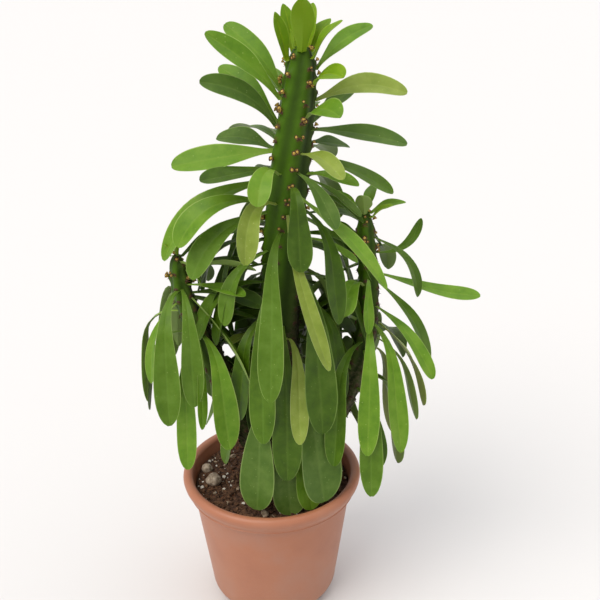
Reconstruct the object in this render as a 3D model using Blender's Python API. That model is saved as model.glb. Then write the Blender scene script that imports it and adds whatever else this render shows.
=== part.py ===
"""Potted euphorbia: a ribbed succulent with two side branches in a plain round nursery pot.

Units are metres, +Z up. The origin is the centre of the pot's flat base, and the plant's
front is -Y. Every leaf, stem, stone, the soil and the pot is a closed solid of its own.
"""
import math

import bmesh
import bpy
import numpy as np
from mathutils import Vector
from mathutils.bvhtree import BVHTree

MM = 0.001
GAP = 0.35                      # clearance between neighbouring solids, mm

# ---------------------------------------------------------------- pot, millimetres
POT_HEIGHT = 145.0
RIM_RADIUS = 90.0
RIM_BAND = 18.5                 # height of the band below the lip
WALL_TOP_RADIUS = 80.0          # outside of the wall, just under the band
WALL_FOOT_RADIUS = 65.5         # outside of the wall, just above the rounded foot
FOOT_ROUND = 18.0
BASE_FLAT_RADIUS = 47.0
WALL = 2.8
FLOOR = 3.0
POT_SIDES = 48
DRAIN_HOLES = 6
DRAIN_RADIUS = 4.5
DRAIN_CIRCLE = 38.0

# ---------------------------------------------------------------- soil
SOIL_TOP = 132.0
SOIL_EDGE_DROP = 2.5
SOIL_SIDES = 40
SOCKET_DEPTH = 18.0

# ---------------------------------------------------------------- stems
# Design points of each stem's centre line: x, y, z and rib radius.
TRUNK_PATH = [(9, 4, 111, 17), (9, 3, 150, 17.5), (10, 1, 200, 18), (11, 0, 260, 18),
              (13, 0, 330, 18), (15, 0, 382, 18), (19, 0, 430, 18), (24, 0, 476, 17),
              (30, 0, 519, 15.5), (33, 0, 548, 12.5), (34, 0, 563, 7)]
LEFT_PATH = [(-2, -1, 152, 12), (-18, -4, 182, 12.5), (-32, -5, 214, 12.5),
             (-46, -4, 252, 12), (-62, -2, 291, 11), (-74, 0, 322, 10),
             (-80, 0, 348, 9), (-82, 0, 368, 7.5), (-82, 0, 378, 4)]
RIGHT_PATH = [(17, 2, 140, 9.5), (34, 3, 156, 10.5), (54, 4, 184, 11), (72, 4, 222, 11),
              (86, 4, 262, 10.5), (94, 4, 300, 10), (95, 4, 341, 9.5), (92, 4, 384, 8.5),
              (90, 4, 408, 7), (89, 4, 418, 4)]
RIBS = 5
RIB_DEPTH = 0.10                # how far the hollow between two ribs lies below their radius
RIB_TWIST = 0.27                # degrees of turn per millimetre of height
RIB_PHASE = 11.0                # direction of the first rib at height 0, degrees

# ---------------------------------------------------------------- leaves
LEAF_EDGE = 0.4                 # half thickness at the margin, mm
LEAF_MID = 0.8                  # half thickness at the midrib, mm
LEAF_CHANNEL = 0.10             # margin lift as a share of the half width
LEAF_STATIONS = (0.0, 0.12, 0.30, 0.50, 0.68, 0.82, 0.93, 1.0)

# name, stem, height on the stem, facing (0 = +X, -90 = front, 180 = -X, 90 = back), length,
# width, rise at the foot, rise at the tip, sideways swing, share of the length over which
# it bends, and roll about its own length; millimetres and degrees.
LEAVES = [
    # crown, held up and out
    ("crown_leaf_1", "trunk", 558, -90, 60, 24, 64, 36, 0, 1.0, 0),
    ("crown_leaf_2", "trunk", 527, 155, 76, 19, 58, 26, -10, 1.0, 25),
    ("crown_leaf_3", "trunk", 521, 190, 83, 19, 53, 33, 0, 1.0, 25),
    ("crown_leaf_4", "trunk", 544, 18, 62, 14, 53, 12, 3, 1.0, -15),
    ("crown_leaf_5", "trunk", 498, 190, 78, 18, 58, 6, 0, 1.0, -10),
    ("crown_leaf_6", "trunk", 475, 185, 88, 26, -2, -12, 0, 1.0, 30),
    ("crown_leaf_7", "trunk", 460, 208, 66, 22, 8, -8, 0, 1.0, 15),
    ("crown_leaf_8", "trunk", 519, 0, 80, 19, 28, -20, -4, 1.0, -25),
    ("crown_leaf_9", "trunk", 495, 34, 68, 24, 30, 30, 10, 1.0, 0),
    ("crown_leaf_10", "trunk", 494, -12, 82, 22, 4, -18, 0, 1.0, -25),
    ("crown_leaf_11", "trunk", 468, 0, 80, 20, -13, -35, -5, 1.0, -20),
    # middle of the trunk, arching over
    ("arch_leaf_1", "trunk", 448, 180, 128, 18, -10, -65, 8, 1.0, 20),
    ("arch_leaf_2", "trunk", 407, 157, 116, 26, -15, -85, 0, 1.0, 0),
    ("arch_leaf_3", "trunk", 437, -50, 118, 18, -15, -45, 12, 1.0, 0),
    # front of the trunk, hanging
    ("front_leaf_1", "trunk", 405, -100, 170, 24, 2, -83, 0, 0.4, 0),
    ("front_leaf_2", "trunk", 362, -108, 165, 25, -20, -84, 12, 0.4, 0),
    ("front_leaf_3", "trunk", 447, -80, 92, 22, 22, -82, 5, 0.5, 0),
    ("front_leaf_4", "trunk", 422, -84, 142, 17, -48, -62, 44, 1.0, 0),
    ("front_leaf_5", "trunk", 429, -52, 122, 20, -10, -80, 0, 0.6, 0),
    ("front_leaf_6", "trunk", 378, -62, 170, 32, -28, -82, -4, 0.5, 0),
    ("front_leaf_7", "trunk", 300, -72, 120, 17, 20, -80, -20, 0.5, 0),
    ("front_leaf_8", "trunk", 312, -86, 158, 28, -14, -84, 0, 0.4, 0),
    ("base_leaf_1", "trunk", 240, -110, 130, 30, 5, -83, 3, 0.5, 0),
    ("base_leaf_2", "trunk", 217, -83, 104, 28, -16, -78, 6, 0.5, 0),
    ("base_leaf_3", "trunk", 209, -65, 100, 26, 5, -76, 5, 0.5, 0),
    ("base_leaf_4", "trunk", 254, -57, 130, 38, -15, -78, 0, 0.5, 0),
    # left branch
    ("left_leaf_1", "left", 304, -66, 128, 26, 4, -78, 10, 0.5, 0),
    ("left_leaf_2", "left", 346, -105, 140, 24, 3, -78, 30, 0.5, 0),
    ("left_leaf_3", "left", 347, -78, 128, 20, 12, -82, 0, 0.5, 0),
    ("left_leaf_4", "left", 304, -100, 142, 20, -12, -84, 8, 0.5, 0),
    ("left_leaf_5", "left", 320, 160, 130, 22, -10, -88, 0, 0.5, 0),
    ("left_leaf_6", "left", 289, 85, 130, 20, 0, -80, 30, 0.5, 0),
    # right branch
    ("right_leaf_1", "right", 357, -8, 96, 18, -18, -4, 0, 1.0, -20),
    ("right_leaf_2", "right", 349, -26, 97, 24, -35, -80, -5, 1.0, 0),
    ("right_leaf_3", "right", 326, -50, 90, 18, -10, -55, 0, 1.0, 0),
    ("right_leaf_4", "right", 310, -70, 138, 20, 0, -76, 5, 0.5, 0),
    ("right_leaf_5", "right", 305, 12, 113, 24, -45, -76, 0, 0.8, 0),
    ("right_leaf_6", "right", 253, 33, 145, 22, -35, -82, 0, 0.5, 0),
    ("right_leaf_7", "right", 314, -93, 146, 20, 6, -79, 0, 0.5, 0),
    ("right_leaf_8", "right", 280, -86, 157, 22, 3, -81, 0, 0.5, 0),
    ("right_leaf_9", "right", 289, -117, 140, 22, 8, -82, 0, 0.5, 0),
    # back
    ("back_leaf_1", "trunk", 470, 100, 85, 22, 20, -30, 0, 1.0, 0),
    ("back_leaf_2", "trunk", 440, 60, 110, 24, 10, -70, 0, 0.8, 0),
    ("back_leaf_3", "trunk", 420, 122, 130, 24, 5, -80, 0, 0.6, 0),
    ("back_leaf_4", "trunk", 385, 85, 160, 27, 0, -83, 0, 0.5, 0),
    ("back_leaf_5", "trunk", 345, 120, 160, 26, 0, -82, 0, 0.5, 0),
    ("back_leaf_6", "trunk", 300, 72, 150, 28, 0, -82, 0, 0.5, 0),
    ("back_leaf_7", "trunk", 262, 105, 120, 30, 5, -80, 0, 0.5, 0),
    ("back_leaf_8", "left", 335, 115, 130, 24, 5, -82, 0, 0.5, 0),
    ("back_leaf_9", "right", 345, 90, 140, 24, 5, -82, 0, 0.5, 0),
    ("back_leaf_10", "right", 300, 118, 140, 24, 0, -80, 0, 0.5, 0),
]

# two pumice stones on the soil: name, x, y, radius, flattening
STONES = [("pumice_large", -59.0, -10.0, 7.5, 0.75), ("pumice_small", -67.5, 13.0, 5.5, 0.8)]


# ================================================================ scene helpers
def clear_scene():
    for obj in list(bpy.data.objects):
        bpy.data.objects.remove(obj, do_unlink=True)


def material(name, colour, roughness):
    mat = bpy.data.materials.new(name)
    mat.use_nodes = True
    mat.diffuse_color = (*colour, 1.0)
    shader = mat.node_tree.nodes["Principled BSDF"]
    shader.inputs["Base Color"].default_value = (*colour, 1.0)
    shader.inputs["Roughness"].default_value = roughness
    shader.inputs["Metallic"].default_value = 0.0
    return mat


def add_object(name, bm, mat):
    bmesh.ops.recalc_face_normals(bm, faces=bm.faces)
    mesh = bpy.data.meshes.new(name)
    bm.to_mesh(mesh)
    bm.free()
    mesh.materials.append(mat)
    mesh.shade_smooth()
    mesh.set_sharp_from_angle(angle=math.radians(40))
    obj = bpy.data.objects.new(name, mesh)
    bpy.context.collection.objects.link(obj)
    return obj


def cutter(name, bm):
    mesh = bpy.data.meshes.new(name)
    bmesh.ops.recalc_face_normals(bm, faces=bm.faces)
    bm.to_mesh(mesh)
    bm.free()
    obj = bpy.data.objects.new(name, mesh)
    obj.hide_render = True
    obj.display_type = "WIRE"
    bpy.context.collection.objects.link(obj)
    return obj


def cut(obj, tool):
    mod = obj.modifiers.new(tool.name, "BOOLEAN")
    mod.operation = "DIFFERENCE"
    mod.solver = "EXACT"
    mod.object = tool


def bridge(bm, rings, close_ends=True):
    """Skin closed rings of vertices into a tube, with a fan or face at each end."""
    count = len(rings[0])
    for lower, upper in zip(rings[:-1], rings[1:]):
        for k in range(count):
            nxt = (k + 1) % count
            bm.faces.new((lower[k], lower[nxt], upper[nxt], upper[k]))
    if close_ends:
        bm.faces.new(list(reversed(rings[0])))
        bm.faces.new(rings[-1])


def lathe(profile, sides):
    """Turn a list of (radius, height) in millimetres; radius 0 makes a pole."""
    bm = bmesh.new()
    rings = []
    for radius, height in profile:
        if radius == 0:
            rings.append([bm.verts.new((0, 0, height * MM))])
            continue
        ring = []
        for k in range(sides):
            a = 2 * math.pi * k / sides
            ring.append(bm.verts.new((radius * math.cos(a) * MM, radius * math.sin(a) * MM,
                                      height * MM)))
        rings.append(ring)
    for one, two in zip(rings[:-1], rings[1:]):
        for k in range(sides):
            nxt = (k + 1) % sides
            if len(one) == 1:
                bm.faces.new((one[0], two[nxt], two[k]))
            elif len(two) == 1:
                bm.faces.new((one[k], one[nxt], two[0]))
            else:
                bm.faces.new((one[k], one[nxt], two[nxt], two[k]))
    return bm


# ================================================================ pot
def wall_radius(z):
    """Outside radius of the tapered wall at height z."""
    top = POT_HEIGHT - RIM_BAND
    share = (z - FOOT_ROUND) / (top - FOOT_ROUND)
    return WALL_FOOT_RADIUS + (WALL_TOP_RADIUS - WALL_FOOT_RADIUS) * share


def foot_arc(inset, floor):
    """The rounded foot from the flat base to the wall, moved in by inset and up by floor."""
    flat = BASE_FLAT_RADIUS - inset / 2
    reach = WALL_FOOT_RADIUS - inset - flat
    rise = FOOT_ROUND + 1.0 - floor if floor else FOOT_ROUND
    turns = [math.radians(a) for a in (0, 30, 60, 90)]
    return [(flat + reach * math.sin(a), floor + rise * (1 - math.cos(a))) for a in turns]


def make_pot(mat):
    band = POT_HEIGHT - RIM_BAND
    outside = [(0, 0), *foot_arc(0, 0), (wall_radius(70), 70), (WALL_TOP_RADIUS, band)]
    rim = [(RIM_RADIUS - 2.6, band + 0.4), (RIM_RADIUS - 1.6, band + 2.0),
           (RIM_RADIUS - 0.2, POT_HEIGHT - 8.5), (RIM_RADIUS - 0.2, POT_HEIGHT - 4.5),
           (RIM_RADIUS - 1.6, POT_HEIGHT - 1.4), (RIM_RADIUS - 4.6, POT_HEIGHT),
           (RIM_RADIUS - 7.8, POT_HEIGHT - 0.9), (RIM_RADIUS - 9.8, POT_HEIGHT - 3.6),
           (RIM_RADIUS - 10.8, POT_HEIGHT - 8.0)]
    inside = [(WALL_TOP_RADIUS - WALL, band - 3), (wall_radius(70) - WALL, 70),
              *reversed(foot_arc(WALL, FLOOR)), (0, FLOOR)]
    pot = add_object("pot", lathe(outside + rim + inside, POT_SIDES), mat)
    holes = bmesh.new()
    for k in range(DRAIN_HOLES):
        a = 2 * math.pi * (k + 0.5) / DRAIN_HOLES
        made = bmesh.ops.create_cone(holes, cap_ends=True, segments=12,
                                     radius1=DRAIN_RADIUS * MM, radius2=DRAIN_RADIUS * MM,
                                     depth=12 * MM)
        shift = Vector((DRAIN_CIRCLE * math.cos(a), DRAIN_CIRCLE * math.sin(a), 1.5)) * MM
        bmesh.ops.translate(holes, vec=shift, verts=made["verts"])
    cut(pot, cutter("cut_drain_holes", holes))
    return pot


# ================================================================ soil
def soil_height(x, y):
    """Height of the uneven soil surface at a point, millimetres."""
    reach = math.hypot(x, y) / (WALL_TOP_RADIUS - WALL)
    bumps = 0.9 * math.sin(0.11 * x + 0.6) * math.cos(0.13 * y - 0.4)
    bumps += 0.5 * math.sin(0.23 * x - 0.17 * y)
    return SOIL_TOP - SOIL_EDGE_DROP * reach ** 2 + bumps


def make_soil(mat):
    bm = bmesh.new()
    side = [*foot_arc(WALL + 2 * GAP, FLOOR + GAP), (wall_radius(70) - WALL - 2 * GAP, 70),
            (wall_radius(SOIL_TOP - 6) - WALL - 2 * GAP, SOIL_TOP - 6)]
    top = [0.985, 0.82, 0.62, 0.40]
    rings = []
    for radius, height in side:
        rings.append([(radius, k, height) for k in range(SOIL_SIDES)])
    reach = wall_radius(SOIL_TOP - 3) - WALL - 2 * GAP
    for share in top:
        rings.append([(reach * share, k, None) for k in range(SOIL_SIDES)])
    made = []
    for ring in rings:
        verts = []
        for radius, k, height in ring:
            a = 2 * math.pi * k / SOIL_SIDES
            x = radius * math.cos(a)
            y = radius * math.sin(a)
            z = soil_height(x, y) if height is None else height
            verts.append(bm.verts.new((x * MM, y * MM, z * MM)))
        made.append(verts)
    bridge(bm, made)
    soil = add_object("soil", bm, mat)
    x, y, z, radius = TRUNK_PATH[0]
    socket = bmesh.new()
    depth = SOCKET_DEPTH + 14
    made = bmesh.ops.create_cone(socket, cap_ends=True, segments=24,
                                 radius1=(radius + 1.2) * MM, radius2=(radius + 1.2) * MM,
                                 depth=depth * MM)
    lift = Vector((x, y - 0.3, TRUNK_PATH[0][2] - 4 * GAP + depth / 2)) * MM
    bmesh.ops.translate(socket, vec=lift, verts=made["verts"])
    cut(soil, cutter("cut_trunk_socket", socket))
    return soil


# ================================================================ stems
def smooth_path(points, count):
    """Catmull-Rom points along a list of (x, y, z, radius)."""
    pts = np.array(points, float)
    pts = np.vstack([2 * pts[0] - pts[1], pts, 2 * pts[-1] - pts[-2]])
    spans = len(points) - 1
    out = []
    for s in np.linspace(0, spans, count):
        i = min(int(s), spans - 1)
        u = s - i
        a, b, c, d = pts[i:i + 4]
        out.append(0.5 * (2 * b + (c - a) * u + (2 * a - 5 * b + 4 * c - d) * u * u
                          + (3 * b - a - 3 * c + d) * u ** 3))
    return np.array(out)


def stem_bmesh(points, sides, count, grow=0.0):
    """A ribbed, slowly twisting tube along the path; grow thickens it for a cutter."""
    path = smooth_path(points, count)
    bm = bmesh.new()
    rings = []
    for i in range(count):
        x, y, z, radius = (float(value) for value in path[i])
        ahead = path[min(i + 1, count - 1)][:3]
        behind = path[max(i - 1, 0)][:3]
        along = Vector(ahead - behind).normalized()
        across = Vector((1, 0, 0))
        across = (across - across.dot(along) * along).normalized()
        other = along.cross(across)
        turn = math.radians(RIB_TWIST * z + RIB_PHASE)
        ring = []
        for k in range(sides):
            a = 2 * math.pi * k / sides
            hollow = RIB_DEPTH * (1 - math.cos(RIBS * a)) / 2
            r = radius * (1 - hollow) + grow
            way = math.cos(a + turn) * across + math.sin(a + turn) * other
            ring.append(bm.verts.new((Vector((x, y, z)) + r * way) * MM))
        rings.append(ring)
    bridge(bm, rings)
    return bm


def make_stems(mat):
    trunk = add_object("main_stem", stem_bmesh(TRUNK_PATH, 20, 26), mat)
    left = add_object("left_branch", stem_bmesh(LEFT_PATH, 15, 16), mat)
    right = add_object("right_branch", stem_bmesh(RIGHT_PATH, 15, 17), mat)
    tool = cutter("cut_branch_seats", stem_bmesh(TRUNK_PATH, 20, 26, grow=GAP))
    cut(left, tool)
    cut(right, tool)
    return {"trunk": (TRUNK_PATH, trunk), "left": (LEFT_PATH, left),
            "right": (RIGHT_PATH, right)}


def surface_tree(obj):
    """A ray-cast tree of an object's evaluated mesh."""
    bpy.context.view_layer.update()
    graph = bpy.context.evaluated_depsgraph_get()
    return BVHTree.FromObject(obj, graph)


def stem_centre(points, height):
    path = smooth_path(points, 120)
    return Vector([float(np.interp(height, path[:, 2], path[:, k])) for k in range(3)])


# ================================================================ leaves
def ease(t):
    t = min(max(t, 0.0), 1.0)
    return t * t * (3 - 2 * t)


def leaf_half_width(t, width):
    """Spoon-shaped outline: a narrow foot, widest past the middle, a round tip."""
    half = width / 2 * (0.15 + 0.85 * ease(t / 0.76))
    if t > 0.76:
        half *= math.sqrt(max(0.0, 1 - ((t - 0.76) / 0.25) ** 2.4))
    return half


def leaf_spine(foot, facing, length, rise, fall, swing, bend, steps=48):
    """Centre-line points and the three directions at each of them."""
    here = foot.copy()
    out = []
    for i in range(steps + 1):
        t = i / steps
        heading = math.radians(facing + swing * t)
        pitch = math.radians(rise + (fall - rise) * ease(t / bend))
        along = Vector((math.cos(heading) * math.cos(pitch),
                        math.sin(heading) * math.cos(pitch), math.sin(pitch)))
        side = Vector((-math.sin(heading), math.cos(heading), 0))
        out.append((here.copy(), along, side, along.cross(side)))
        here = here + along * (length / steps)
    return out


def make_leaf(spec, stems, trees, mat):
    name, stem, height, facing, length, width, rise, fall, swing, bend, roll = spec
    centre = stem_centre(stems[stem][0], height)
    out = Vector((math.cos(math.radians(facing)), math.sin(math.radians(facing)), 0))
    hit = trees[stem].ray_cast((centre + out * 60) * MM, -out)[0]
    lift = GAP + 0.8 + LEAF_MID * abs(math.sin(math.radians(rise)))
    foot = hit / MM + out * lift
    spine = leaf_spine(foot, facing, length, rise, fall, swing, bend)
    tilt = math.radians(roll)
    bm = bmesh.new()
    rings = []
    for t in LEAF_STATIONS:
        here, along, side, up = spine[round(t * 48)]
        turned = side * math.cos(tilt) - up * math.sin(tilt)
        face = up * math.cos(tilt) + side * math.sin(tilt)
        half = leaf_half_width(t, width)
        lift = LEAF_CHANNEL * half
        section = [(-half, lift + LEAF_EDGE), (0, LEAF_MID), (half, lift + LEAF_EDGE),
                   (half, lift - LEAF_EDGE), (0, -LEAF_MID), (-half, lift - LEAF_EDGE)]
        rings.append([bm.verts.new((here + turned * u + face * v) * MM) for u, v in section])
    bridge(bm, rings)
    return add_object(name, bm, mat)


# ================================================================ stones
def make_stone(spec, mat):
    name, x, y, radius, flat = spec
    bm = bmesh.new()
    bmesh.ops.create_icosphere(bm, subdivisions=1, radius=radius * MM)
    for vert in bm.verts:
        p = vert.co / (radius * MM)
        lump = 1 + 0.12 * math.sin(7 * p.x + 3 * p.y) + 0.08 * math.cos(5 * p.z - 4 * p.x)
        vert.co *= lump
        vert.co.z *= flat
    lowest = min(vert.co.z for vert in bm.verts)
    floor = max(soil_height(x + dx, y + dy) for dx in (-5, 0, 5) for dy in (-5, 0, 5))
    bmesh.ops.translate(bm, vec=(x * MM, y * MM, (floor + GAP) * MM - lowest), verts=bm.verts)
    return add_object(name, bm, mat)


# ================================================================ the whole plant
def main():
    clear_scene()
    terracotta = material("pot_plastic", (0.47, 0.20, 0.11), 0.55)
    earth = material("soil_mix", (0.035, 0.018, 0.012), 0.95)
    bark = material("stem_skin", (0.09, 0.19, 0.04), 0.5)
    green = material("leaf_blade", (0.13, 0.30, 0.04), 0.45)
    pumice = material("pumice_stone", (0.42, 0.36, 0.28), 0.9)
    make_pot(terracotta)
    make_soil(earth)
    stems = make_stems(bark)
    trees = {key: surface_tree(pair[1]) for key, pair in stems.items()}
    for spec in LEAVES:
        make_leaf(spec, stems, trees, green)
    for spec in STONES:
        make_stone(spec, pumice)


main()
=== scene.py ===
"""Potted euphorbia: a ribbed succulent with two side branches in a moulded nursery pot."""
import logging
import math
import random
from dataclasses import dataclass, field
from enum import Enum
from typing import Any, Iterable, Sequence

import bmesh
import bpy
import numpy as np
from mathutils import Matrix, Vector, noise
from mathutils.bvhtree import BVHTree


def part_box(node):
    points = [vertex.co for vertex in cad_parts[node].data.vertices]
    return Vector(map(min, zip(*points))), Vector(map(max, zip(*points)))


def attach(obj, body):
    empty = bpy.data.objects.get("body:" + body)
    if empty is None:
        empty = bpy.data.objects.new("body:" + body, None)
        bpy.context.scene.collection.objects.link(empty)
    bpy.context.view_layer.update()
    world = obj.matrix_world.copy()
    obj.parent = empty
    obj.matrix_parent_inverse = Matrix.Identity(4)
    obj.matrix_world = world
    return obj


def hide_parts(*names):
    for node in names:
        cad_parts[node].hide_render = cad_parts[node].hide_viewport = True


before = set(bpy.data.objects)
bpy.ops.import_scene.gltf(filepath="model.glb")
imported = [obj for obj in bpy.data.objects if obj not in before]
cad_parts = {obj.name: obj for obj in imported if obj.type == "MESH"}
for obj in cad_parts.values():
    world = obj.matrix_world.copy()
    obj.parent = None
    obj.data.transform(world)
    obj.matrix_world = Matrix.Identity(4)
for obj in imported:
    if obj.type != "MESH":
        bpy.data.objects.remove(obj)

LOG = logging.getLogger("euphorbia")
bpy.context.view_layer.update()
MM = 0.001
ROOT = "root"
# Sockets of a Mix node that mixes colours: below, above and out.
BELOW, ABOVE, MIXED = 6, 7, 2

Colour = tuple[float, float, float, float]


# ================================================================ small tools
def linear(code: str) -> Colour:
    """Turn an sRGB hex colour into linear light.

    Args:
        code: Six hex digits, with or without a leading hash.

    Returns:
        Linear red, green, blue and an alpha of one.
    """
    code = code.lstrip("#")
    parts = [int(code[i:i + 2], 16) / 255 for i in (0, 2, 4)]
    light = [c / 12.92 if c <= 0.04045 else ((c + 0.055) / 1.055) ** 2.4 for c in parts]
    return (light[0], light[1], light[2], 1.0)


def ease(t: float) -> float:
    """Smooth step from 0 to 1."""
    t = min(max(t, 0.0), 1.0)
    return t * t * (3 - 2 * t)


def per_mm(size: float) -> float:
    """Noise or Voronoi scale, in metres, for features of this size in millimetres."""
    return 1.0 / (size * MM)


def add_node(tree: bpy.types.NodeTree, kind: str, inputs: dict[Any, Any] | None = None,
             **settings: Any) -> bpy.types.Node:
    """Add a node, set it up and link it.

    Args:
        tree: Node tree to add to.
        kind: Blender's type name of the node, without its ShaderNode.
        inputs: Socket name or index to a socket to link from, or to a plain value.
        **settings: Properties of the node; stops is a colour ramp's (place, hex) list.

    Returns:
        The new node.
    """
    node = tree.nodes.new("ShaderNode" + kind)
    stops = settings.pop("stops", None)
    for name, value in settings.items():
        setattr(node, name, value)
    if stops:
        ramp = node.color_ramp
        while len(ramp.elements) < len(stops):
            ramp.elements.new(0.5)
        for element, (place, code) in zip(ramp.elements, stops):
            element.position = place
            element.color = linear(code)
    for key, value in (inputs or {}).items():
        if isinstance(value, bpy.types.NodeSocket):
            tree.links.new(value, node.inputs[key])
        else:
            node.inputs[key].default_value = value
    return node


def new_material(name: str) -> tuple[bpy.types.Material, bpy.types.NodeTree, bpy.types.Node]:
    """Start a material.

    Args:
        name: Name of the material.

    Returns:
        The material, its node tree and its Principled shader.
    """
    made = bpy.data.materials.new(name)
    made.use_nodes = True
    return made, made.node_tree, made.node_tree.nodes["Principled BSDF"]


def relief(tree: bpy.types.NodeTree, shader: bpy.types.Node,
           layers: Sequence[tuple[bpy.types.NodeSocket, float, float]]) -> None:
    """Give a surface its fine relief, layer on layer.

    Args:
        tree: Node tree of the material.
        shader: Its shader.
        layers: Height, strength and depth in millimetres of each layer, finest first.
    """
    below: dict[Any, Any] = {}
    for height, strength, depth in layers:
        bump = add_node(tree, "Bump", {"Height": height, "Strength": strength,
                                       "Distance": depth * MM, **below})
        below = {"Normal": bump.outputs["Normal"]}
    tree.links.new(below["Normal"], shader.inputs["Normal"])


def publish(name: str, bm: bmesh.types.BMesh, materials: Sequence[bpy.types.Material],
            nodes: Sequence[str] = (), smooth_below: float = 50) -> bpy.types.Object:
    """Turn a bmesh into a piece that rides on the plant.

    Args:
        name: Name of the piece.
        bm: Its shape; freed here.
        materials: Materials, by face index.
        nodes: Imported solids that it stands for.
        smooth_below: Edges sharper than this many degrees stay sharp.

    Returns:
        The new object.
    """
    mesh = bpy.data.meshes.new(name)
    bm.to_mesh(mesh)
    bm.free()
    for material in materials:
        mesh.materials.append(material)
    mesh.shade_smooth()
    mesh.set_sharp_from_angle(angle=math.radians(smooth_below))
    piece = bpy.data.objects.new(name, mesh)
    bpy.context.scene.collection.objects.link(piece)
    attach(piece, ROOT)
    if nodes:
        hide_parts(*nodes)
    return piece


def skin(bm: bmesh.types.BMesh, rings: Sequence[Sequence[bmesh.types.BMVert]]) -> None:
    """Join closed rings of vertices into a tube with closed ends.

    Args:
        bm: Mesh to add the faces to.
        rings: Rings of equal length; a ring of one vertex is a pole.
    """
    for one, two in zip(rings[:-1], rings[1:]):
        count = max(len(one), len(two))
        for k in range(count):
            nxt = (k + 1) % count
            if len(one) == 1:
                bm.faces.new((one[0], two[nxt], two[k]))
            elif len(two) == 1:
                bm.faces.new((one[k], one[nxt], two[0]))
            else:
                bm.faces.new((one[k], one[nxt], two[nxt], two[k]))
    if len(rings[0]) > 1:
        bm.faces.new(list(reversed(rings[0])))
    if len(rings[-1]) > 1:
        bm.faces.new(rings[-1])


def lathe(profile: Sequence[tuple[float, float]], sides: int) -> bmesh.types.BMesh:
    """Turn a profile about the vertical axis.

    Args:
        profile: (radius, height) in millimetres; a radius of 0 makes a pole.
        sides: Number of steps round.

    Returns:
        The closed shape.
    """
    bm = bmesh.new()
    rings = []
    for radius, height in profile:
        count = sides if radius else 1
        angles = [2 * math.pi * k / sides for k in range(count)]
        rings.append([bm.verts.new((radius * math.cos(a) * MM, radius * math.sin(a) * MM,
                                    height * MM)) for a in angles])
    skin(bm, rings)
    return bm


# ================================================================ finishes
@dataclass(frozen=True)
class PotPlastic:
    """Injection-moulded polypropylene tinted like terracotta.

    The mould leaves a fine satin grain and the tint is not quite even, so the eye gets a
    soft, wide highlight, cloudy warm patches and a little dust in the lower wall.
    """
    name: str = "moulded_polypropylene"
    body: str = "a3664a"
    warm: str = "ab6e50"
    faded: str = "a87660"
    dust: str = "b0907f"
    patch_mm: float = 60.0
    speck_mm: float = 2.4
    grain_mm: float = 0.9
    ring_mm: float = 3.2
    waves_per_scale: float = 20.0
    dusty_up_to: float = 0.11
    dust_low: float = 0.34
    dust_high: float = 0.05
    smoothest: float = 0.36
    roughest: float = 0.50
    ior: float = 1.49

    def build(self) -> bpy.types.Material:
        """Make the material.

        Returns:
            The material.
        """
        made, tree, shader = new_material(self.name)
        place = add_node(tree, "TexCoord").outputs["Object"]
        cloud = add_node(tree, "TexNoise", {"Vector": place, "Scale": per_mm(self.patch_mm),
                                            "Detail": 4.0, "Roughness": 0.55})
        tint = add_node(tree, "ValToRGB", {"Fac": cloud.outputs["Fac"]},
                        stops=[(0.30, self.body), (0.52, self.warm), (0.75, self.faded)])
        speck = add_node(tree, "TexNoise", {"Vector": place, "Scale": per_mm(self.speck_mm),
                                            "Detail": 2.0, "Roughness": 0.7})
        low = add_node(tree, "SeparateXYZ", {"Vector": place})
        fall = add_node(tree, "MapRange", {
            "Value": low.outputs["Z"], "From Min": 0.0, "From Max": self.dusty_up_to,
            "To Min": self.dust_low, "To Max": self.dust_high})
        amount = add_node(tree, "Math", {0: speck.outputs["Fac"], 1: fall.outputs["Result"]},
                          operation="MULTIPLY")
        dusty = add_node(tree, "Mix", {"Factor": amount.outputs[0], ABOVE: linear(self.dust),
                                       BELOW: tint.outputs["Color"]}, data_type="RGBA")
        tree.links.new(dusty.outputs[MIXED], shader.inputs["Base Color"])
        gloss = add_node(tree, "MapRange", {"Value": speck.outputs["Fac"],
                                            "To Min": self.smoothest, "To Max": self.roughest})
        tree.links.new(gloss.outputs["Result"], shader.inputs["Roughness"])
        # Turning marks of the mould, drawn a little coarser than the real ones so they show.
        rings = add_node(tree, "TexWave", {
            "Vector": place, "Scale": per_mm(self.ring_mm) / self.waves_per_scale,
            "Distortion": 0.6, "Detail": 1.0}, bands_direction="Z")
        grain = add_node(tree, "TexNoise", {"Vector": place, "Scale": per_mm(self.grain_mm),
                                            "Detail": 3.0})
        relief(tree, shader, ((grain.outputs["Fac"], 0.10, 0.4),
                              (rings.outputs["Fac"], 0.14, 0.3)))
        shader.inputs["IOR"].default_value = self.ior
        return made


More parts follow.
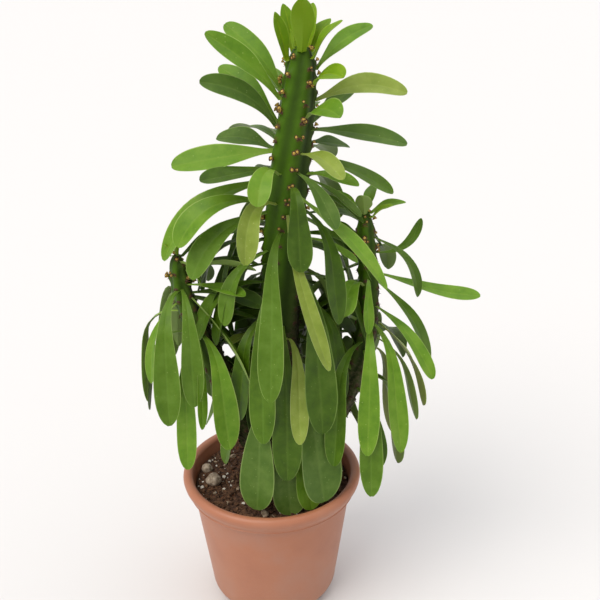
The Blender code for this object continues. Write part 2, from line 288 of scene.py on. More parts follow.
@dataclass(frozen=True)
class Blade:
    """A fleshy leaf blade with a thin wax bloom.

    Its skin scatters a soft sheen, the margin lets light through and looks pale, the midrib
    is a shade lighter, and the flesh is faintly mottled with small pale pores.
    """
    name: str
    deep: str
    face: str
    bright: str
    margin: str
    back: str
    gloss: float = 0.46
    mottle_mm: float = 15.0
    pore_mm: float = 5.5
    cell_mm: float = 1.3
    veins: float = 19.0
    vein_drift: float = 2.2
    ior: float = 1.42
    specular: float = 0.30
    flesh: float = 0.16
    flesh_depth_mm: float = 1.6
    flesh_colour: tuple[float, float, float] = (0.5, 1.0, 0.12)

    def build(self) -> bpy.types.Material:
        """Make the material. It reads the blade attribute: across, along and underside.

        Returns:
            The material.
        """
        made, tree, shader = new_material(self.name)
        place = add_node(tree, "TexCoord").outputs["Object"]
        blade = add_node(tree, "Attribute", attribute_name="blade")
        tone = add_node(tree, "Attribute", attribute_name="tone")
        axes = add_node(tree, "SeparateXYZ", {"Vector": blade.outputs["Vector"]})
        across = add_node(tree, "Math", {0: axes.outputs["X"]},
                          operation="ABSOLUTE").outputs[0]
        along, under = axes.outputs["Y"], axes.outputs["Z"]
        mottle = add_node(tree, "TexNoise", {"Vector": place, "Scale": per_mm(self.mottle_mm),
                                             "Detail": 5.0, "Roughness": 0.62})
        shifted = add_node(tree, "Math", {0: mottle.outputs["Fac"], 1: tone.outputs["Fac"]},
                           operation="ADD")
        tint = add_node(tree, "ValToRGB", {"Fac": shifted.outputs[0]},
                        stops=[(0.18, self.deep), (0.50, self.face),
                               (0.92, self.bright)]).outputs["Color"]
        pores = add_node(tree, "TexVoronoi", {"Vector": place, "Randomness": 1.0,
                                              "Scale": per_mm(self.pore_mm)})
        # The foot of a blade is paler, as its flesh is thick and holds less green there.
        # Then come the midrib, the margin, the pores and the underside.
        for value, start, stop, low, high, colour, blend in (
                (along, 0.0, 0.35, 0.55, 0.0, self.bright, "SMOOTHSTEP"),
                (across, 0.02, 0.12, 0.32, 0.0, self.bright, "SMOOTHSTEP"),
                (across, 0.92, 0.99, 0.0, 0.62, self.margin, "SMOOTHSTEP"),
                (pores.outputs["Distance"], 0.05, 0.12, 0.45, 0.0, self.margin, "LINEAR"),
                (under, 0.0, 1.0, 0.0, 0.92, self.back, "LINEAR")):
            amount = add_node(tree, "MapRange", {"Value": value, "From Min": start,
                              "From Max": stop, "To Min": low, "To Max": high},
                              interpolation_type=blend)
            tint = add_node(tree, "Mix", {"Factor": amount.outputs["Result"], BELOW: tint,
                                          ABOVE: linear(colour)},
                            data_type="RGBA").outputs[MIXED]
        tree.links.new(tint, shader.inputs["Base Color"])
        gloss = add_node(tree, "MapRange", {"Value": mottle.outputs["Fac"],
                         "To Min": self.gloss - 0.05, "To Max": self.gloss + 0.10})
        tree.links.new(gloss.outputs["Result"], shader.inputs["Roughness"])
        # Side veins leave the midrib at a slant; they stand out a few hundredths of a mm.
        drift = add_node(tree, "Math", {0: mottle.outputs["Fac"], 1: self.vein_drift,
                                        2: across}, operation="MULTIPLY_ADD")
        slant = add_node(tree, "Math", {0: along, 1: self.veins, 2: drift.outputs[0]},
                         operation="MULTIPLY_ADD")
        veins = add_node(tree, "Math", {0: slant.outputs[0], 1: 1.0}, operation="PINGPONG")
        cells = add_node(tree, "TexNoise", {"Vector": place, "Scale": per_mm(self.cell_mm),
                                            "Detail": 3.0, "Roughness": 0.6})
        relief(tree, shader, ((cells.outputs["Fac"], 0.16, 0.4), (veins.outputs[0], 0.07, 0.4),
                              (mottle.outputs["Fac"], 0.22, 1.2)))
        for socket, value in (("IOR", self.ior), ("Specular IOR Level", self.specular),
                              ("Subsurface Weight", self.flesh),
                              ("Subsurface Radius", self.flesh_colour),
                              ("Subsurface Scale", self.flesh_depth_mm * MM)):
            shader.inputs[socket].default_value = value
        return made


@dataclass(frozen=True)
class StemSkin:
    """Living stem skin: waxy green at the top, greyer and corky lower down.

    Ridges are painted a clearer green as painted light and the hollows between them dark as
    painted shade. The side turned from the light gets the old colours and cork as painted shade.
    """
    name: str = "waxy_stem_skin"
    hollow: str = "304a04"
    ridge: str = "406203"
    old_hollow: str = "1c250c"
    old_ridge: str = "3b4620"
    cork: str = "5f5440"
    scar: str = "5a3a22"
    cloud_mm: float = 11.0
    fleck_mm: float = 3.0
    young_roughness: float = 0.50
    old_roughness: float = 0.78
    ior: float = 1.42
    specular: float = 0.22

    def build(self) -> bpy.types.Material:
        """Make the material. It reads the skin attribute: rib, age with painted shade, and scar.

        Returns:
            The material.
        """
        made, tree, shader = new_material(self.name)
        place = add_node(tree, "TexCoord").outputs["Object"]
        skin_data = add_node(tree, "Attribute", attribute_name="skin")
        axes = add_node(tree, "SeparateXYZ", {"Vector": skin_data.outputs["Vector"]})
        crest, age_and_shade, scarred = axes.outputs["X"], axes.outputs["Y"], axes.outputs["Z"]
        cloud = add_node(tree, "TexNoise", {"Vector": place, "Scale": per_mm(self.cloud_mm),
                                            "Detail": 5.0, "Roughness": 0.65})
        wobble = add_node(tree, "Math", {0: cloud.outputs["Fac"], 1: 0.5, 2: crest},
                          operation="MULTIPLY_ADD")
        young = add_node(tree, "ValToRGB", {"Fac": wobble.outputs[0]},
                         stops=[(0.25, self.hollow), (0.95, self.ridge)])
        old = add_node(tree, "ValToRGB", {"Fac": wobble.outputs[0]},
                       stops=[(0.30, self.old_hollow), (1.0, self.old_ridge)])
        flecks = add_node(tree, "TexNoise", {"Vector": place, "Scale": per_mm(self.fleck_mm),
                                             "Detail": 4.0, "Roughness": 0.7})
        bark = add_node(tree, "Math", {0: flecks.outputs["Fac"], 1: age_and_shade},
                        operation="MULTIPLY")
        corky = add_node(tree, "MapRange", {"Value": bark.outputs[0], "From Min": 0.42,
                                            "From Max": 0.62, "To Max": 0.8})
        # The age mask also carries painted shade, so old colours and cork stand for shade on one
        # side.
        tint = young.outputs["Color"]
        for amount, colour in ((age_and_shade, old.outputs["Color"]),
                               (corky.outputs["Result"], linear(self.cork)),
                               (scarred, linear(self.scar))):
            tint = add_node(tree, "Mix", {"Factor": amount, BELOW: tint, ABOVE: colour},
                            data_type="RGBA").outputs[MIXED]
        tree.links.new(tint, shader.inputs["Base Color"])
        gloss = add_node(tree, "MapRange", {"Value": age_and_shade, "To Min": self.young_roughness,
                                            "To Max": self.old_roughness})
        tree.links.new(gloss.outputs["Result"], shader.inputs["Roughness"])
        relief(tree, shader, ((flecks.outputs["Fac"], 0.30, 0.8),
                              (cloud.outputs["Fac"], 0.35, 2.0)))
        shader.inputs["IOR"].default_value = self.ior
        shader.inputs["Specular IOR Level"].default_value = self.specular
        return made


@dataclass(frozen=True)
class Mineral:
    """Loose matter: peat, bark fibre, pumice, perlite, or the dry parts of the flowers.

    Each grain scatters light without a highlight and varies from dark pits to pale faces.
    """
    name: str
    pit: str
    face: str
    crest: str
    grain_mm: float
    roughness: float = 0.92
    relief: float = 0.6
    relief_mm: float = 0.8

    def build(self) -> bpy.types.Material:
        """Make the material.

        Returns:
            The material.
        """
        made, tree, shader = new_material(self.name)
        place = add_node(tree, "TexCoord").outputs["Object"]
        cloud = add_node(tree, "TexNoise", {"Vector": place, "Scale": per_mm(self.grain_mm),
                                            "Detail": 6.0, "Roughness": 0.7})
        tint = add_node(tree, "ValToRGB", {"Fac": cloud.outputs["Fac"]},
                        stops=[(0.32, self.pit), (0.52, self.face), (0.72, self.crest)])
        tree.links.new(tint.outputs["Color"], shader.inputs["Base Color"])
        fine = add_node(tree, "TexNoise", {"Vector": place, "Scale": per_mm(self.grain_mm / 3),
                                           "Detail": 4.0, "Roughness": 0.7})
        relief(tree, shader, ((fine.outputs["Fac"], self.relief, self.relief_mm),))
        shader.inputs["Roughness"].default_value = self.roughness
        return made


class Tone(Enum):
    """Leaf colours, from the growing tip to old leaves; one is a darker copy as painted shade."""
    YOUNG = Blade("young_leaf_blade", "587c06", "6e910b", "93a81c", "b3bf55", "71901a",
                  gloss=0.42)
    FRESH = Blade("fresh_leaf_blade", "4a7210", "62881d", "7b9935", "a8ba68", "768d44")
    MATURE = Blade("mature_leaf_blade", "3a5a04", "507013", "63842c", "94aa5c", "6a8040")
    # A darker copy of the leaf finish: painted shade for leaves that sit in shade.
    PAINTED_SHADE = Blade("painted_shade_leaf_blade", "2b4202", "3f5c08", "587223", "7a9248", "587034")
    OLIVE = Blade("olive_leaf_blade", "6b7f28", "7e9037", "93a34e", "b2bd78", "859449")
    BLOOM = Blade("bloom_leaf_blade", "3a5914", "4c6822", "67803a", "92a562", "71864e",
                  gloss=0.52)


# ================================================================ pot
@dataclass
class Pot:
    """The nursery pot; sizes in millimetres."""
    height: float = 145.0
    rim_radius: float = 90.0
    rim_band: float = 18.5
    wall_top: float = 80.0
    wall_foot: float = 65.5
    foot_round: float = 18.0
    base_flat: float = 47.0
    wall: float = 2.8
    floor: float = 3.0
    sides: int = 160
    drain_holes: int = 6
    drain_radius: float = 4.5
    drain_circle: float = 38.0
    drill_depth: float = 12.0
    oval: float = 0.0016
    ripple: float = 0.0010
    true_up_to: float = 0.02
    lip_radius: float = 5.1
    lip_steps: int = 12
    # The band under the lip leans in; a raised hairline runs along its lower edge. Each pair
    # is a distance in from the rim and one up from the band's foot.
    band_side = ((6.3, -0.2), (5.3, 0.3), (4.9, 0.9), (5.3, 1.5), (5.2, 2.2), (3.9, 5.0),
                 (2.2, 7.6), (0.9, 9.8))

    def wall_radius(self, z: float) -> float:
        """Outside radius of the tapered wall at height z."""
        share = (z - self.foot_round) / (self.height - self.rim_band - self.foot_round)
        return self.wall_foot + (self.wall_top - self.wall_foot) * share

    def foot_arc(self, inset: float, floor: float, steps: int) -> list[tuple[float, float]]:
        """The rounded foot between the flat base and the wall.

        Args:
            inset: How far inside the outer skin it runs.
            floor: Height of its start.
            steps: How many steps.

        Returns:
            (radius, height) pairs in millimetres.
        """
        flat = self.base_flat - inset / 2
        reach = self.wall_foot - inset - flat
        rise = self.foot_round + (1.0 - floor if floor else 0.0)
        turns = [math.radians(90 * k / steps) for k in range(steps + 1)]
        return [(flat + reach * math.sin(a), floor + rise * (1 - math.cos(a))) for a in turns]

    def profile(self) -> list[tuple[float, float]]:
        """The wall's outline, from the middle of the base round to the inside.

        Returns:
            (radius, height) pairs in millimetres.
        """
        band = self.height - self.rim_band
        foot = [(0, 0), *self.foot_arc(0, 0, 9)]
        wall = [(self.wall_radius(z), z) for z in range(27, int(band) - 1, 9)]
        collar = [(self.wall_top - 0.1, band - 1.6), (self.wall_top + 0.5, band - 0.6)]
        band_side = [(self.rim_radius - inward, band + up) for inward, up in self.band_side]
        lip = []
        for k in range(self.lip_steps + 1):
            a = math.radians(-20 + 205 * k / self.lip_steps)
            lip.append((self.rim_radius - 5.2 + self.lip_radius * math.cos(a),
                        self.height - self.lip_radius + self.lip_radius * math.sin(a)))
        inside = [(self.rim_radius - 10.6, self.height - 8.0),
                  (self.wall_top - self.wall + 0.4, band - 2)]
        inside += [(self.wall_radius(z) - self.wall, z) for z in range(110, 25, -15)]
        inside += [*reversed(self.foot_arc(self.wall, self.floor, 5)), (0, self.floor)]
        return foot + wall + collar + band_side + lip + inside

    def build(self) -> bpy.types.Object:
        """Make the pot, drill its base and dress it.

        Returns:
            The pot.
        """
        bm = lathe(self.profile(), self.sides)
        bmesh.ops.recalc_face_normals(bm, faces=bm.faces)
        for vert in bm.verts:
            # Moulded plastic pulls slightly out of round as it cools.
            a = math.atan2(vert.co.y, vert.co.x)
            swell = 1 + self.oval * math.sin(2 * a + 0.7)
            swell += self.ripple * math.sin(3 * a + vert.co.z * 30)
            if vert.co.z > self.true_up_to:
                vert.co.x *= swell
                vert.co.y *= swell
        pot = publish("nursery_pot", bm, [PotPlastic().build()], ["pot"], 40)
        drill = bmesh.new()
        for k in range(self.drain_holes):
            a = 2 * math.pi * (k + 0.5) / self.drain_holes
            shift = Vector((math.cos(a), math.sin(a), 0)) * self.drain_circle * MM
            bmesh.ops.create_cone(drill, cap_ends=True, segments=28,
                                  radius1=self.drain_radius * MM,
                                  radius2=self.drain_radius * MM,
                                  depth=self.drill_depth * MM,
                                  matrix=Matrix.Translation(shift))
        drill_mesh = bpy.data.meshes.new("drain_drill")
        drill.to_mesh(drill_mesh)
        drill.free()
        tool = bpy.data.objects.new("drain_drill", drill_mesh)
        bpy.context.scene.collection.objects.link(tool)
        cut = pot.modifiers.new("drain_holes", "BOOLEAN")
        cut.object = tool
        bpy.context.view_layer.update()
        graph = bpy.context.evaluated_depsgraph_get()
        drilled = bpy.data.meshes.new_from_object(pot.evaluated_get(graph))
        pot.modifiers.clear()
        pot.data = drilled
        bpy.data.objects.remove(tool)
        return pot


# ================================================================ soil
@dataclass(frozen=True)
class Grain:
    """One kind of loose grain; radii in millimetres.

    flat and long are the ranges of its height and length as shares of its radius, and sink
    the share of its height that lies below the surface.
    """
    name: str
    slot: str
    finish: Mineral
    count: int
    low: float
    high: float
    flat: tuple[float, float]
    long: tuple[float, float]
    sink: float
    detail: int = 1


GRAINS = (
    Grain("soil_crumbs", "soil_mix", Mineral("peat_crumb", "241208", "51351f", "8a6648", 2.5),
          2300, 0.5, 3.6, (0.5, 0.9), (1.0, 1.6), 0.35),
    Grain("bark_fibres", "soil_mix", Mineral("bark_fibre", "45200f", "74401f", "9c6238", 3.0),
          230, 0.5, 1.1, (0.3, 0.5), (3.0, 7.0), 0.15),
    Grain("perlite_grains", "pumice_stone",
          Mineral("expanded_perlite", "b9b0a2", "ddd8cc", "f4f1ea", 2.0),
          210, 0.5, 2.3, (0.7, 1.0), (1.0, 1.3), 0.25),
    Grain("pumice_gravel", "pumice_stone",
          Mineral("pumice_gravel", "6b5a46", "97866f", "b9ab96", 3.0),
          46, 1.4, 4.8, (0.6, 0.9), (1.0, 1.5), 0.25, 2),
)


@dataclass
class Soil:
    """Peat mix that fills the pot, with the loose grains on its surface; millimetres."""
    pot: Pot
    top: float = 132.0
    edge_drop: float = 2.5
    gap: float = 0.6
    rings: int = 46
    sides: int = 132
    clod: float = 9.0
    clod_height: float = 1.5
    bare_edge: float = 1.5
    small_bias: float = 2.2
    lumpiness: float = 0.55
    seed: int = 11

    def height(self, x: float, y: float) -> float:
        """Height of the uneven surface at a point, in millimetres.

        Args:
            x: Place to the right.
            y: Place to the back.

        Returns:
            The height.
        """
        reach = math.hypot(x, y) / (self.pot.wall_top - self.pot.wall)
        bumps = 0.9 * math.sin(0.11 * x + 0.6) * math.cos(0.13 * y - 0.4)
        bumps += 0.5 * math.sin(0.23 * x - 0.17 * y)
        return self.top - self.edge_drop * reach ** 2 + bumps

    def rough_height(self, x: float, y: float) -> float:
        """Height with clods and crumbs on top of the broad unevenness."""
        clods = noise.fractal(Vector((x / self.clod, y / self.clod, 3.1)), 0.9, 2.1, 5)
        return self.height(x, y) + self.clod_height * clods

    def bed(self) -> bpy.types.Object:
        """Make the block of mix with its rough top.

        Returns:
            The block.
        """
        bm = bmesh.new()
        wall = self.pot
        side = [*wall.foot_arc(wall.wall + self.gap, wall.floor + self.gap / 2, 5),
                (wall.wall_radius(70) - wall.wall - self.gap, 70.0),
                (wall.wall_radius(self.top - 5) - wall.wall - self.gap, self.top - 5)]
        angles = [2 * math.pi * k / self.sides for k in range(self.sides)]
        rings = [[bm.verts.new((r * math.cos(a) * MM, r * math.sin(a) * MM, z * MM))
                  for a in angles] for r, z in side]
        reach = wall.wall_radius(self.top - 3) - wall.wall - self.gap
        for step in range(self.rings):
            r = reach * (1 - step / self.rings)
            ring = []
            for a in angles:
                x, y = r * math.cos(a), r * math.sin(a)
                ring.append(bm.verts.new((x * MM, y * MM, self.rough_height(x, y) * MM)))
            rings.append(ring)
        rings.append([bm.verts.new((0, 0, self.rough_height(0, 0) * MM))])
        skin(bm, rings)
        bmesh.ops.recalc_face_normals(bm, faces=bm.faces)
        finish = Mineral("damp_peat_mix", "1d0e06", "432a1a", "7b5a40", 3.2)
        return publish("soil_bed", bm, [finish.build()], ["soil"], 80)

    def scatter(self, grain: Grain, rng: random.Random) -> bmesh.types.BMesh:
        """Strew uneven grains over the surface.

        Args:
            grain: Their kind.
            rng: Source of the random draws.

        Returns:
            All grains in one shape.
        """
        bm = bmesh.new()
        reach = self.pot.wall_radius(self.top) - self.pot.wall - self.bare_edge
        for _ in range(grain.count):
            size = grain.low + (grain.high - grain.low) * rng.random() ** self.small_bias
            r = (reach - size) * math.sqrt(rng.random())
            a = rng.uniform(0, 2 * math.pi)
            x, y = r * math.cos(a), r * math.sin(a)
            thick = size * rng.uniform(*grain.flat)
            made = bmesh.ops.create_icosphere(bm, subdivisions=grain.detail, radius=1.0)
            turn = Matrix.Rotation(rng.uniform(0, 2 * math.pi), 4, "Z")
            tip = Matrix.Rotation(rng.uniform(-0.5, 0.5), 4, "X")
            stretch = Matrix.Diagonal((size * rng.uniform(*grain.long), size, thick, 1))
            origin = Vector((rng.uniform(0, 90), rng.uniform(0, 90), rng.uniform(0, 90)))
            for vert in made["verts"]:
                lump = 1 + self.lumpiness * noise.noise(vert.co * 1.4 + origin)
                vert.co = turn @ tip @ stretch @ (vert.co * lump)
                vert.co.z += self.rough_height(x, y) + thick * (1 - 2 * grain.sink)
                vert.co.x += x
                vert.co.y += y
                vert.co *= MM
        return bm

    def build(self) -> list[bpy.types.Object]:
        """Make the bed and everything that lies loose on it.

        Returns:
            The bed, then each kind of grain.
        """
        rng = random.Random(self.seed)
        pieces = [self.bed()]
        for grain in GRAINS:
            pieces.append(publish(grain.name, self.scatter(grain, rng), [grain.finish.build()],
                                  (), 30))
        return pieces


@dataclass
class PumiceLump:
    """One larger pumice stone lying on the soil; it stands for a packed stone."""
    node: str
    radius: float
    flat: float
    seed: float
    sink: float = 1.2

    def build(self, material: bpy.types.Material) -> bpy.types.Object:
        """Make the stone.

        Args:
            material: Its finish.

        Returns:
            The stone.
        """
        bm = bmesh.new()
        bmesh.ops.create_icosphere(bm, subdivisions=4, radius=self.radius)
        low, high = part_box(self.node)
        middle = (low + high) / 2
        for vert in bm.verts:
            way = vert.co.normalized()
            lump = 1 + 0.22 * noise.noise(way * 1.3 + Vector((self.seed, 0, 0)))
            lump += 0.07 * noise.fractal(way * 3.5 + Vector((0, self.seed, 0)), 1.0, 2.0, 3)
            vert.co = way * self.radius * lump
            vert.co.z *= self.flat
            vert.co = vert.co * MM + middle - Vector((0, 0, self.sink * MM))
        return publish(self.node + "_lump", bm, [material], [self.node], 60)


# ================================================================ stems
class StemKey(Enum):
    """The three stems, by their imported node."""
    TRUNK = "main_stem"
    LEFT = "left_branch"
    RIGHT = "right_branch"


@dataclass
class Stem:
    """A ribbed, slowly twisting stem. Its path is x, y, z and rib radius in millimetres."""
    key: StemKey
    path: list[tuple[float, float, float, float]]
    sides: int
    rings: int
    flower_from: float
    age_from: float
    ribs: int = 5
    rib_depth: float = 0.10
    rib_twist: float = 0.27
    rib_phase: float = 11.0
    step: float = 14.0
    bump: float = 1.9
    bump_reach: float = 4.2
    # The side facing this way, turned from the light, gets old skin's colours as painted shade.
    shaded_side_facing: float = math.radians(-5)
    painted_shade_strength: float = 0.75
    ageing_run: float = 170.0
    bare_foot: float = 18.0
    bare_tip: float = 8.0
    rind: float = 0.35
    scar_strength: float = 0.8
    ray_start: float = 60.0
    line: np.ndarray = field(init=False)
    tree: BVHTree = field(init=False)

    def __post_init__(self) -> None:
        """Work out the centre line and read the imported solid's surface."""
        self.line = self.smooth(self.rings)
        bpy.context.view_layer.update()
        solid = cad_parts[self.key.value]
        self.tree = BVHTree.FromObject(solid, bpy.context.evaluated_depsgraph_get())

    def smooth(self, count: int) -> np.ndarray:
        """Catmull-Rom points along the path.

        Args:
            count: How many points.

        Returns:
            Rows of x, y, z and radius.
        """
        pts = np.array(self.path, float)
        pts = np.vstack([2 * pts[0] - pts[1], pts, 2 * pts[-1] - pts[-2]])
        spans = len(self.path) - 1
        out = []
        for s in np.linspace(0, spans, count):
            i = min(int(s), spans - 1)
            u = s - i
            a, b, c, d = pts[i:i + 4]
            out.append(0.5 * (2 * b + (c - a) * u + (2 * a - 5 * b + 4 * c - d) * u * u
                              + (3 * b - a - 3 * c + d) * u ** 3))
        return np.array(out)

    def centre(self, height: float) -> Vector:
        """Centre line point at a height, in millimetres."""
        return Vector([float(np.interp(height, self.line[:, 2], self.line[:, k]))
                       for k in range(3)])

    def rib_turn(self, height: float) -> float:
        """Direction of the first rib at a height, in degrees."""
        return self.rib_twist * height + self.rib_phase

    def nodes(self) -> list[tuple[int, float]]:
        """Every leaf base on the ribs, in a spiral.

        Returns:
            (rib, height) pairs.
        """
        low, high = self.path[0][2] + self.bare_foot, self.path[-1][2] - self.bare_tip
        found = []
        for rib in range(self.ribs):
            z = low + self.step * ((rib * 2 % self.ribs) / self.ribs)
            while z < high:
                found.append((rib, z + 1.6 * math.sin(z * 1.7 + rib)))
                z += self.step
        return found

    def surface(self, height: float, facing: float) -> tuple[Vector, Vector]:
        """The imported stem's surface in a direction.

        Args:
            height: Height on the stem, in millimetres.
            facing: Direction in degrees.

        Returns:
            The point in millimetres and the horizontal way out.
        """
        a = math.radians(facing)
        out = Vector((math.cos(a), math.sin(a), 0))
        hit = self.tree.ray_cast((self.centre(height) + out * self.ray_start) * MM, -out)[0]
        return hit / MM, out

    def build(self, material: bpy.types.Material) -> bpy.types.Object:
        """Make the stem with its ribs, leaf cushions and scars.

        Args:
            material: Its finish.

        Returns:
            The stem.
        """
        bm = bmesh.new()
        layer = bm.verts.layers.float_vector.new("skin")
        marks = self.nodes()
        rings = []
        for i, (x, y, z, radius) in enumerate(self.line.tolist()):
            ahead = self.line[min(i + 1, self.rings - 1)][:3]
            behind = self.line[max(i - 1, 0)][:3]
            along = Vector(ahead - behind).normalized()
            side = Vector((1, 0, 0))
            side = (side - side.dot(along) * along).normalized()
            other = along.cross(side)
            turn = math.radians(self.rib_turn(z))
            near = [(rib, h) for rib, h in marks if abs(h - z) < 3 * self.bump_reach]
            ring = []
            for k in range(self.sides):
                a = 2 * math.pi * k / self.sides
                crest = (1 + math.cos(self.ribs * a)) / 2
                lift, scar = 0.0, 0.0
                for rib, h in near:
                    off = (a - 2 * math.pi * rib / self.ribs + math.pi) % (2 * math.pi) - math.pi
                    far = math.hypot(off * radius, h - z) / self.bump_reach
                    lift += self.bump * math.exp(-far * far)
                    scar = max(scar, 1 - far * 1.5)
                place = Vector((x + radius * math.cos(a), z, a * 3)) * 0.16
                grain = self.rind * noise.noise(place)
                r = radius * (1 - self.rib_depth * (1 - crest ** 0.8))
                r = r + lift - self.rind + grain
                way = math.cos(a + turn) * side + math.sin(a + turn) * other
                vert = bm.verts.new((Vector((x, y, z)) + way * r) * MM)
                # Painted shade: the side turned from the light gets the colours of old skin.
                painted_shade = max(0.0, math.cos(a + turn - self.shaded_side_facing)) ** 1.5
                # The age mask holds real ageing lower down and this painted shade together.
                age_and_shade = min(1.0, ease((self.age_from - z) / self.ageing_run)
                          + self.painted_shade_strength * painted_shade)
                vert[layer] = Vector((crest, age_and_shade, max(0.0, scar) * self.scar_strength))
                ring.append(vert)
            rings.append(ring)
        skin(bm, rings)
        bmesh.ops.recalc_face_normals(bm, faces=bm.faces)
        return publish(self.key.value + "_skin", bm, [material],
                       [self.key.value], 75)


@dataclass
class NodeTrim:
    """What grows on the leaf bases: paired thorns, old scars and small flower cups."""
    stem: Stem
    seed: int
    share: float = 0.8
    cup_radius: float = 2.3
    apex_cups: int = 0
    # Radius and height along a cup's wall, its rims among them, and the finish of each band.
    cup_wall = ((0.35, -1.2), (0.75, -0.3), (1.25, 0.5), (1.45, 1.0), (1.2, 1.15), (0.85, 0.8),
                (0.55, 1.15))
    cup_rims = (3, 4)
    cup_bands = (1, 1, 0, 0, 2, 2, 0, 0)
    cup_sides = 10
    wood = 2
    # Half width, half height and half depth of a scar, and a thorn's radii and length.
    scar_size = (2.3, 1.5, 0.9)
    thorn_foot = 0.42
    thorn_tip = 0.05
    thorn_length = 2.4
    golden_turn = 2.4

    def place(self, verts: Iterable[bmesh.types.BMVert], where: Vector, way: Vector,
              scale: float) -> None:
        """Scale, turn and move new vertices so that their +Z points along way.

        Args:
            verts: The vertices, at the origin, in millimetres.
            where: Target point in millimetres.
            way: Direction for +Z.
            scale: Size factor.
        """
        spin = way.to_track_quat("Z", "Y").to_matrix()
        for vert in verts:
            vert.co = (spin @ (vert.co * scale) + where) * MM

    def cup(self, bm: bmesh.types.BMesh, where: Vector, way: Vector, scale: float,
            rng: random.Random) -> None:
        """Add one flower cup: a rimmed bowl of bracts with a domed centre.

        Args:
            bm: Mesh to add to.
            where: Its foot, in millimetres.
            way: The way it opens.
            scale: Size factor.
            rng: Source of the random draws.
        """
        verts, rings = [], []
        lobes = rng.uniform(0, 6)
        for step, (r, z) in enumerate(self.cup_wall):
            ring = []
            for k in range(self.cup_sides):
                a = 2 * math.pi * k / self.cup_sides
                wave = 1 + (0.16 * math.cos(5 * a + lobes) if step in self.cup_rims else 0.0)
                ring.append(bm.verts.new((r * wave * math.cos(a), r * wave * math.sin(a), z)))
            rings.append(ring)
            verts += ring
        top = bm.verts.new((0, 0, 1.45))
        bottom = bm.verts.new((0, 0, -1.35))
        before = len(bm.faces)
        skin(bm, [[bottom]] + rings + [[top]])
        bm.faces.ensure_lookup_table()
        for n, face in enumerate(bm.faces[before:]):
            face.material_index = self.cup_bands[n // self.cup_sides]
        self.place(verts + [top, bottom], where, way, scale * self.cup_radius / 1.5)

    def build(self, finishes: Sequence[bpy.types.Material]) -> bpy.types.Object:
        """Make all trim of one stem.

        Args:
            finishes: Yellow bract, red-brown bract and dark wood.

        Returns:
            The trim as one piece.
        """
        rng = random.Random(self.seed)
        bm = bmesh.new()
        for rib, height in self.stem.nodes():
            facing = self.stem.rib_turn(height) + 360 / self.stem.ribs * rib
            hit, out = self.stem.surface(height, facing)
            side = Vector((-out.y, out.x, 0))
            foot = hit + out * 1.0
            scar = bmesh.ops.create_icosphere(bm, subdivisions=2, radius=1.0)["verts"]
            for vert in scar:
                vert.co = vert.co * Vector(self.scar_size)
                vert.co *= 1 + 0.25 * noise.noise(vert.co + hit)
            for face in {face for vert in scar for face in vert.link_faces}:
                face.material_index = self.wood
            self.place(scar, foot, out, rng.uniform(0.75, 1.1))
            for sign in (-1, 1):
                thorn = bmesh.ops.create_cone(bm, segments=6, radius1=self.thorn_foot,
                                              radius2=self.thorn_tip, cap_ends=True,
                                              depth=self.thorn_length)["verts"]
                for vert in thorn:
                    vert.co.z += 1.0
                for face in {face for vert in thorn for face in vert.link_faces}:
                    face.material_index = self.wood
                lean = (out * 1.0 + side * sign * 0.8 + Vector((0, 0, -0.35))).normalized()
                self.place(thorn, foot + side * sign * 1.5 - Vector((0, 0, 1.2)), lean, 1.0)
            if height < self.stem.flower_from or rng.random() > self.share:
                continue
            for _ in range(rng.choice((1, 2, 3, 4))):
                drift = side * rng.uniform(-3.0, 3.0) + Vector((0, 0, rng.uniform(-0.6, 4.0)))
                lean = (out + drift * 0.22 + Vector((0, 0, 0.25))).normalized()
                self.cup(bm, foot + drift + out * rng.uniform(1.0, 1.9), lean,
                         rng.uniform(0.6, 1.1), rng)
        x, y, z, radius = self.stem.path[-1]
        for k in range(self.apex_cups):
            a = self.golden_turn * k
            out = Vector((math.cos(a), math.sin(a), 0))
            where = Vector((x, y, z - 2.5)) + out * radius * rng.uniform(0.5, 1.5)
            self.cup(bm, where + Vector((0, 0, rng.uniform(-3.0, 4.0))),
                     (out + Vector((0, 0, 1.1))).normalized(), rng.uniform(0.7, 1.2), rng)
        bmesh.ops.recalc_face_normals(bm, faces=bm.faces)
        name = self.stem.key.value + "_flower_cups"
        return publish(name, bm, list(finishes), (), 45)


# ================================================================ leaves
@dataclass(frozen=True)
class Outline:
    """How a blade's width runs from foot to tip, as shares of its width and length.

    foot is the width at the stem, widest the place of the full width, and point how sharp
    the tip is: 0.5 is round and 1 is a straight-sided point.
    """
    foot: float
    widest: float
    point: float

    def share(self, t: float) -> float:
        """Width at a place along the leaf.

        Args:
            t: The place, as a share of the length.

        Returns:
            The width, as a share of the full width.
        """
        if t <= self.widest:
            return self.foot + (1 - self.foot) * ease(t / self.widest)
        u = (t - self.widest) / (1.004 - self.widest)
        return (1 - u ** 2.2) ** self.point


class Form(Enum):
    """The outlines that the plant's leaves have."""
    SPOON = Outline(0.15, 0.76, 0.56)
    PADDLE = Outline(0.20, 0.60, 0.52)
    LANCE = Outline(0.42, 0.46, 0.72)


